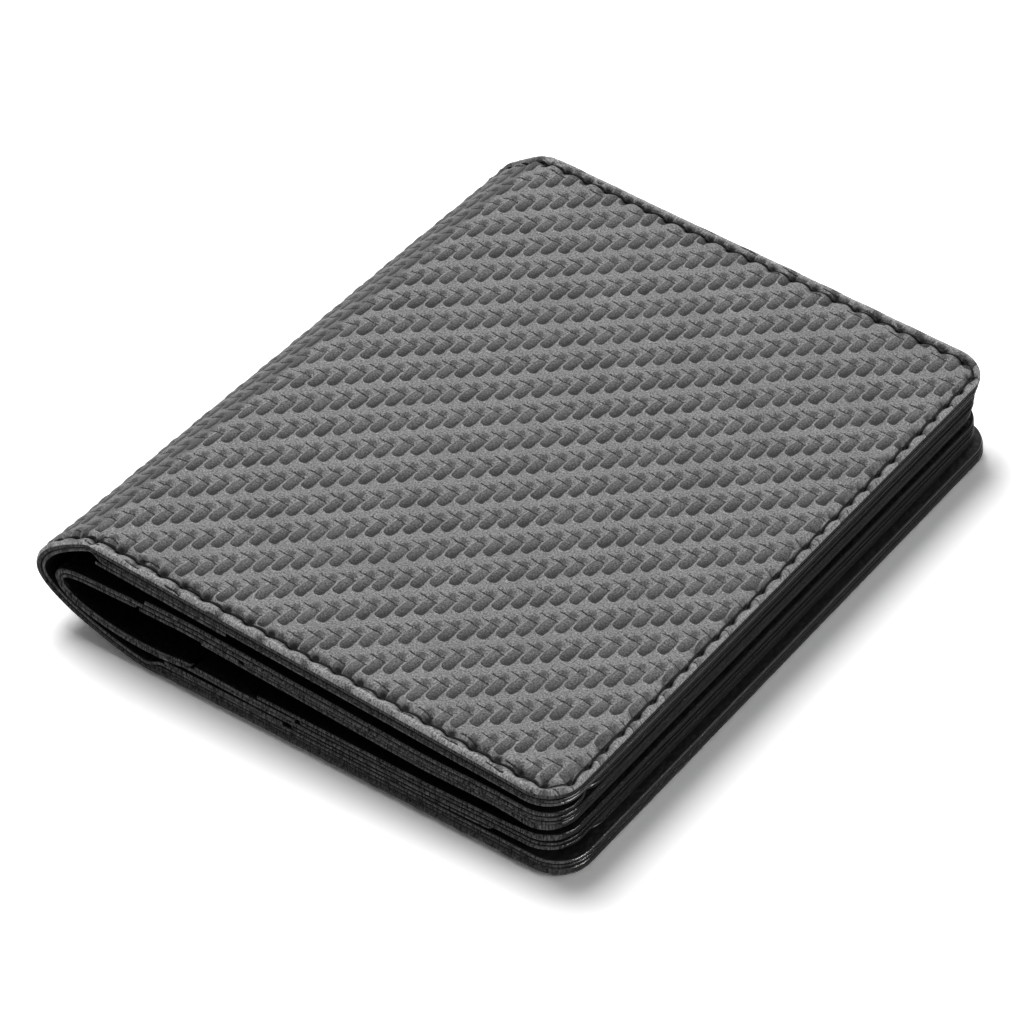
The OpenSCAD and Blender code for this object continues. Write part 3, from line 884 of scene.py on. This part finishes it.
def thread_material():
    """Twisted polyester sewing thread: black and dull, with a fine fibre."""
    material, add = new_material("twisted_sewing_thread")
    here = add("TexCoord", out="Object")
    # Fibres 0.2 mm apart, coarser than real ones so that they show
    fibre = add("TexNoise", {"Vector": here, "Scale": 5000.0})
    colour = add("Mix", [fibre, "#030303", "#101010"], **COLOURS)
    bump = add("Bump", {"Strength": 0.5, "Distance": 0.05*MM, "Height": fibre})
    shine = add("MapRange", [fibre, 0.3, 0.7, 0.5, 0.7])
    finish_material(add, colour=colour, roughness=shine, normal=bump, specular=0.12)
    return material


def board_material():
    """Pressed fibre board: tan and dull, with felted fibres about 1 mm long."""
    material, add = new_material("pressed_fibre_board")
    here = add("TexCoord", out="Object")
    fibre = add("TexNoise", {"Vector": here, "Scale": 900.0, "Detail": 4.0})
    colour = add("Mix", [fibre, "#7b6a4e", "#a08d6c"], **COLOURS)
    bump = add("Bump", {"Strength": 0.4, "Distance": 0.1*MM, "Height": fibre})
    shine = add("MapRange", [fibre, 0.3, 0.7, 0.8, 0.95])
    finish_material(add, colour=colour, roughness=shine, normal=bump)
    return material


leather_top = weave_leather()
# Edge paint on the cover's leather: deep black with thin highlights, and the darkest cut ends
leather_edge = ply_material("painted_leather_edge", "#060606", "#4c4c4c", rough=0.12,
                            wrinkle_mm=0.45, wrinkle_depth=0.16, specular=0.1)
# Coated lining: a little greyer than the leather plies, with a brighter gloss
lining_cloth = ply_material("black_lining", "#121212", "#5c5c5c", rough=0.16,
                            wrinkle_mm=0.35, wrinkle_depth=0.12, specular=0.2)
# Leather of the inner panel: black, with soft wrinkles along its painted edge
panel_leather = ply_material("black_panel_leather", "#050505", "#5c5c5c", rough=0.12,
                             wrinkle_mm=0.45, wrinkle_depth=0.16, specular=0.07)
# Thinner pocket leather: the same black, with slightly coarser and deeper wrinkles
pocket_leather = ply_material("black_pocket_leather", "#050505", "#5a5a5a", rough=0.12,
                              wrinkle_mm=0.5, wrinkle_depth=0.18, specular=0.07)
sewing_thread = thread_material()
fibre_board = board_material()


# Three lengths of the cover: where each lies, which ends are open edges, and the fold it follows

lengths = [
    ("rear", (S_REAR_OPEN, SEAM_REAR), (True, False), ("rear", "spine_rear", REAR_BEND)),
    ("spine", (SEAM_REAR, SEAM_FRONT), (False, False), ("spine_rear", "spine_front", NOSE_BEND)),
    ("front", (SEAM_FRONT, FRONT_W), (False, True), ("spine_front", "front", FRONT_BEND))]


def cad_nodes(part, on_cover, on_spine):
    """The CAD nodes that one length of a ply or a seam stands for."""
    if part == "spine":
        return "spine_rear_" + on_spine, "spine_front_" + on_spine
    return (part + "_" + on_cover,)


# Cover leather: one flat pattern, pressed, then folded round the spine

LEATHER_STEP = 0.32
for part, span, edges, bend in lengths:
    leather = lay_sheet(part + "_leather", span, (-HALF_L, HALF_L), edges, LEATHER_T, dome=EDGE_DOME,
                        reach=CORNER_R, steps=(LEATHER_STEP, LEATHER_STEP), edge_step=0.25)
    mark_edge_faces(leather)
    press_leather(leather)
    fold(leather, outer)
    finish_piece(leather, [leather_top, leather_edge], "weave_leather", cad_nodes(part, "cover", "leather"),
                 bend=bend)

# Lining: a thin ply glued behind the leather

lining_y = (TRIM - HALF_L, HALF_L - LINING_INSET)
for part, (low, high), edges, bend in lengths:
    span = (low + TRIM*edges[0], high - TRIM*edges[1])
    lining = lay_sheet(part + "_lining_ply", span, lining_y, edges, LINING_T, dome=LINING_T/2,
                       reach=CORNER_R - TRIM, steps=(0.6, 5.0), edge_step=0.8)
    with moved(lining) as at:
        at[:, 2] = -at[:, 2] - lining_depth(at[:, 0]) - LINING_T
    fold(lining, outer)
    finish_piece(lining, [lining_cloth], "lining", cad_nodes(part, "lining", "lining"), bend=bend)

# Seam thread round the covers and the spine

cover_stitch = model_stitch(seam_pitch*STITCH_SHARE, STITCH_W, STITCH_DIVE)
for part, (low, high), _, bend in lengths:
    here = stitch_places[(stitch_places[:, 0] >= low) & (stitch_places[:, 0] < high)]
    thread = sew(part + "_seam_thread", here, cover_stitch, -STITCH_SINK, STITCH_SLANT)
    fold(thread, outer)
    finish_piece(thread, [sewing_thread], "seam_thread", cad_nodes(part, "cover_thread", "thread"),
                 bend=bend)
bpy.data.objects.remove(cover_stitch)

# Inner fold: two plies that carry the inner panel round the fold

FOLD_SAG_START = -3.0
panel_y = (TRIM - HALF_L, HALF_L - PANEL_INSET)
fold_cuts = [
    ("rear", (inner.s[0], FOLD_SEAM_REAR), ("rear", "spine_rear", REAR_BEND)),
    ("nose", (FOLD_SEAM_REAR, FOLD_SEAM_FRONT), ("spine_rear", "spine_front", FOLD_NOSE_BEND)),
    ("front", (FOLD_SEAM_FRONT, inner.s[-1]), ("spine_front", "front", FOLD_FRONT_BEND))]
fold_plies = [
    ("backing", BACKING_T, 0.0, panel_leather, "panel_leather"),
    ("face", FOLD_FACE_T, BACKING_T + FOLD_FACE_T, pocket_leather, "pocket_leather")]


def fold_and_sag(piece, depth):
    """Folds a ply along the inner line and lets its front arm sag near the open end.

    A ply at a depth has its finished face to the inside."""
    s, y, _ = points_of(piece).T
    drop = FOLD_SAG*smoothstep(*SAG_ENDS, y)*smoothstep(FOLD_SAG_START, inner.s[-1], s)
    fold(piece, inner, depth, inward=depth > 0)
    with moved(piece) as at:
        at[:, 2] -= drop*MM


for part, span, bend in fold_cuts:
    for kind, thick, depth, material, slot in fold_plies:
        ply = lay_sheet("fold_" + kind + "_" + part, span, panel_y, (False, False), thick, dome=PLY_DOME,
                        steps=(0.4, 5.0))
        fold_and_sag(ply, depth)
        finish_piece(ply, [material], slot, ("inner_fold_" + kind,), bend=bend)


# Flat plies of each half, measured from its crease towards its open edge

def half_sheet(name, u_span, y_span, depth, thick, reach=0.8, steps=(4.0, 4.0), edges=(False, True)):
    """A ply of a half in u, its finished face to the inside at depth plus thick."""
    sheet = lay_sheet(name, u_span, y_span, edges, thick, dome=thick/2, reach=reach, steps=steps)
    with moved(sheet) as at:
        at[:, 2] = -depth - thick - at[:, 2]
    return sheet


def edge_strips(u_start, u_end, y_span, width, depth, thick, reach, near=0.0):
    """A ply cut away in its middle: a strip along the open edge and one along each end.

    With near above zero there is none along the near end, and the first strip stops short of it."""
    inner_end = u_end - width
    low, high = y_span
    strips = [half_sheet("strip", (inner_end, u_end), (low + near, high), depth, thick, reach)]
    for ends in [(high - width, high)] if near else [(low, low + width), (high - width, high)]:
        strips.append(half_sheet("strip", (u_start, inner_end), ends, depth, thick, edges=(True, False)))
    return strips


def tee_sheet(name, mouth, arm, end, depth, thick):
    """A T-shaped ply: arms as wide as the wallet, and a body as wide as a card."""
    grid = 5.0
    edge_width = 0.18
    touch = 0.01
    near, far = TRIM - HALF_L, HALF_L - POCKET_INSET
    bpy.ops.mesh.primitive_plane_add(size=1, location=(mouth + arm/2, (near + far)/2, 0))
    tee = bpy.context.object
    tee.name = tee.data.name = name
    tee.scale = (arm, far - near, 1)
    bpy.ops.object.transform_apply()
    with editing():
        for side in (-1, 1):
            bpy.ops.mesh.select_all(action="SELECT")
            bpy.ops.mesh.bisect(plane_co=(0, side*CARD_HALF, 0), plane_no=(0, 1, 0))
        bpy.ops.mesh.select_all(action="DESELECT")
        bpy.ops.mesh.select_mode(type="EDGE")
    for edge in tee.data.edges:
        ends = [tee.data.vertices[v].co for v in edge.vertices]
        edge.select = all(abs(e.x - mouth - arm) < touch and abs(e.y) < CARD_HALF + touch for e in ends)
    lines = int(CARD_HALF/grid)
    cuts = [((along, 0, 0), (1, 0, 0)) for along in np.arange(grid, end, grid)]
    cuts += [((0, across, 0), (0, 1, 0)) for across in grid*np.arange(-lines, lines + 1)]
    with editing():
        bpy.ops.mesh.extrude_edges_move(TRANSFORM_OT_translate={"value": (end - mouth - arm, 0, 0)})
        for place, facing in cuts:
            bpy.ops.mesh.select_all(action="SELECT")
            bpy.ops.mesh.bisect(plane_co=place, plane_no=facing)
    thicken = tee.modifiers.new("thickness", "SOLIDIFY")
    thicken.thickness = thick
    thicken.offset = -1
    soften = tee.modifiers.new("soft_edges", "BEVEL")
    soften.width = edge_width
    soften.segments = 3
    bpy.ops.object.modifier_apply(modifier="thickness")
    bpy.ops.object.modifier_apply(modifier="soft_edges")
    with moved(tee) as at:
        at[:, 2] = -depth - thick - at[:, 2]
    return tee


def build_half(half, width, inner_w):
    """All plies of one half: border, hidden pocket, panel with its hems, T-shaped pocket, card pocket."""
    note_gap = NOTE_GAP[half]
    backing_d = NOTE_D + note_gap
    tee_d = backing_d + BACKING_T
    pocket_d = tee_d + TEE_T
    panel_end = inner_w - TRIM
    pocket_y = (2*TRIM - HALF_L, HALF_L - POCKET_INSET)
    pocket_end = inner_w - 2*TRIM
    made = []

    def hang(piece):
        """Lets an inner ply hang near the notes' open end."""
        u, y, _ = points_of(piece).T
        held = smoothstep(inner_w - SAG_HELD[0], inner_w - SAG_HELD[1], u)
        loose = smoothstep(*SAG_ENDS, y)*(1 - held)
        if half == "front":
            at_fold = 1 - smoothstep(FOLD_START, POCKET_MOUTH, u)
            drop = loose*(FRONT_SAG + (FOLD_SAG - FRONT_SAG)*at_fold)
        else:
            drop = -loose*REAR_SAG*smoothstep(TEE_MOUTH, POCKET_MOUTH, u)
        with moved(piece) as at:
            at[:, 2] -= drop

    def swell(piece):
        """Thickens a pocket towards the open edge, where its rim is turned."""
        with moved(piece) as at:
            into = np.clip((-at[:, 2] - pocket_d)/POCKET_T, 0, 1)
            rise = smoothstep(pocket_end - SWELL_ENDS[0], pocket_end - SWELL_ENDS[1], at[:, 0])
            at[:, 2] -= POCKET_SWELL*into*rise

    start, inset = 1.0, 0.1
    border = join(half + "_border", edge_strips(
        start, width - inset, (inset - HALF_L, HALF_L - inset), BORDER_W, 0, BORDER_T, CORNER_R - inset))
    with moved(border) as at:
        s = at[:, 0] if half == "front" else S_REAR - at[:, 0]
        at[:, 2] = -leather_thickness(s) + at[:, 2]*(lining_depth(s) - leather_thickness(s))/BORDER_T
    made.append((border, leather_edge, "weave_leather", "cover"))

    mouth = HIDDEN_MOUTH[half]
    hidden = tee_sheet(half + "_hidden_pocket", mouth, HIDDEN_ARM_END - mouth,
                       inner_w - POCKET_INSET - HIDDEN_BODY_SHORT, NOTE_D, HIDDEN_T)
    made.append((hidden, pocket_leather, "pocket_leather", "note_pocket"))

    # The panel, a lip that meets the inner fold, two layers of hem, and a hem at the notes' mouth
    hem_end = panel_end - TRIM
    hem_t = note_gap/2 - 2*SKIN
    hem_depths = (NOTE_D + SKIN, NOTE_D + note_gap/2 + SKIN)
    mouth_y = (panel_y[0], panel_y[0] + MOUTH_HEM_W[half])
    plies = [half_sheet(half + "_panel", (FOLD_START, panel_end), panel_y, backing_d, BACKING_T,
                        reach=CORNER_R - TRIM),
             half_sheet("lip", (LIP_START, LIP_END), panel_y, tee_d, FOLD_FACE_T)]
    for depth in hem_depths:
        plies += edge_strips(HEM_START, hem_end, panel_y, HEM_W, depth, hem_t, SMALL_CORNER_R, HEM_STOP)
    if half == "front":
        plies.append(half_sheet("mouth_hem", (MOUTH_HEM_START, hem_end), mouth_y, hem_depths[1], hem_t,
                                SMALL_CORNER_R))
    else:
        thick, short = 0.5, 10.0
        plies.append(half_sheet("mouth_hem", (HEM_START, panel_end - short), mouth_y, backing_d - thick,
                                thick - SKIN, edges=(True, True)))
    panel = join(half + "_panel", plies)
    hang(panel)
    made.append((panel, panel_leather, "panel_leather", "inner_panel"))

    tee = tee_sheet(half + "_tee", TEE_MOUTH, TEE_ARM, pocket_end - TEE_BODY_SHORT, tee_d, TEE_T)
    hang(tee)
    made.append((tee, pocket_leather, "pocket_leather", "tee_pocket"))

    pocket = half_sheet(half + "_pocket", (POCKET_MOUTH, pocket_end), pocket_y, pocket_d, POCKET_T,
                        reach=CORNER_R - 2*TRIM, steps=(2.0, 2.0))
    swell(pocket)
    spacers = edge_strips(SPACER_START, pocket_end, pocket_y, SPACER_W, tee_d + SKIN, TEE_T - 2*SKIN,
                          SMALL_CORNER_R)
    pocket = join(half + "_card_pocket_ply", [pocket, *spacers])
    hang(pocket)
    made.append((pocket, pocket_leather, "pocket_leather", "card_pocket"))

    # The pocket's seam is part of a loop that runs on beyond its mouth
    inset = POCKET_SEAM_INSET
    run_on, first = 30, 0.8
    places, _ = loop_places(POCKET_MOUTH - run_on, inner_w - inset, HALF_L - inset, CORNER_R - inset,
                            POCKET_STITCH_PITCH)
    stitch = model_stitch(*POCKET_STITCH)
    thread = sew(half + "_pocket_seam", places[places[:, 0] > POCKET_MOUTH + first], stitch, 0.0)
    bpy.data.objects.remove(stitch)
    with moved(thread) as at:
        at[:, 2] = -pocket_d - POCKET_T - at[:, 2] + POCKET_STITCH_SINK
    swell(thread)
    hang(thread)
    made.append((thread, sewing_thread, "seam_thread", "pocket_thread"))

    for piece, material, slot, cad_node in made:
        if half == "rear":
            # The rear half's u runs against the pattern's s
            with moved(piece) as at:
                at[:, 0] = S_REAR - at[:, 0]
        fold(piece, outer)
        finish_piece(piece, [material], slot, (half + "_" + cad_node,), body=half)


build_half("rear", REAR_W, REAR_W - REAR_OVERHANG)
build_half("front", FRONT_W, FRONT_W)

for name in ("rear_board", "front_board"):
    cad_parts[name].data.materials.clear()
    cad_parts[name].data.materials.append(fibre_board)


# Stage: a white floor, soft studio light and the camera

FLOOR_DROP = 0.4


def lit_or_seen(add, lit, seen):
    """One value for the light that a thing gives, another where it is seen, itself or in gloss."""
    rays = add("LightPath").node.outputs
    direct = add("Math.MAXIMUM", [rays["Is Camera Ray"], rays["Is Transmission Ray"]])
    direct = add("Math.MAXIMUM", [direct, rays["Is Glossy Ray"]])
    return add("Mix", [direct, None, lit, seen])


def studio():
    """A white paper floor, an even white surround and three lamps."""
    bpy.ops.mesh.primitive_plane_add(size=6.0, location=(0, 0, -FLOOR_DROP*MM))
    floor = bpy.context.object
    floor.name = "floor"
    material, add = new_material("white_paper")
    surface = add("BsdfDiffuse", {"Color": lit_or_seen(add, 0.95, 1.5)})
    add("OutputMaterial", [surface])
    floor.data.materials.append(material)

    world = bpy.data.worlds.new("soft_studio")
    bpy.context.scene.world = world
    world.use_nodes = True
    world.node_tree.nodes.clear()
    add = partial(node, world.node_tree)
    glow = add("Background", {"Color": (1, 1, 1, 1), "Strength": lit_or_seen(add, 0.14, 1.0)})
    add("OutputWorld", [glow])

    for name, place, size, power in [
            ("overhead_softbox", (-0.4, 0.14, 0.95), (0.5, 0.5), 8.9),
            ("side_strip_lamp", (0.82, 0.06, 0.31), (0.45, 0.03), 1.5),
            ("glint_lamp", (0.82, 0.06, 0.31), (0.45, 0.06), 30.0)]:
        lamp = bpy.data.lights.new(name, "AREA")
        lamp.shape = "RECTANGLE"
        lamp.size, lamp.size_y = size
        lamp.energy = power
        holder = bpy.data.objects.new(name, lamp)
        holder.location = place
        holder.rotation_mode = "QUATERNION"
        holder.rotation_quaternion = (-Vector(place)).to_track_quat("-Z", "Y")
        # The glint lamp only shows in gloss, as a bright bare bulb does, and adds no level
        holder.visible_diffuse = name != "glint_lamp"
        bpy.context.collection.objects.link(holder)


def camera():
    """The photograph's view: a long lens above the near, open corner, turned a little about its axis."""
    azimuth, elevation, roll = (math.radians(v) for v in (36.301, 41.262, -0.676))
    focal_px, image_px, sensor_mm = 3861.8, 1024, 36.0
    distance = 0.50122
    target = Vector((0.0001757, -0.0042012, 0.006))
    data = bpy.data.cameras.new("camera")
    data.sensor_width = sensor_mm
    data.lens = focal_px/image_px*sensor_mm
    data.clip_start = 0.01
    data.clip_end = 20.0
    holder = bpy.data.objects.new("camera", data)
    back = Vector((math.sin(azimuth)*math.cos(elevation), -math.cos(azimuth)*math.cos(elevation),
                   math.sin(elevation)))
    holder.location = target + back*distance
    holder.rotation_mode = "QUATERNION"
    turn = Matrix.Rotation(roll, 4, "Z").to_quaternion()
    holder.rotation_quaternion = (-back).to_track_quat("-Z", "Y") @ turn
    bpy.context.collection.objects.link(holder)
    bpy.context.scene.camera = holder


studio()
camera()
bpy.context.scene.view_settings.view_transform = "Standard"
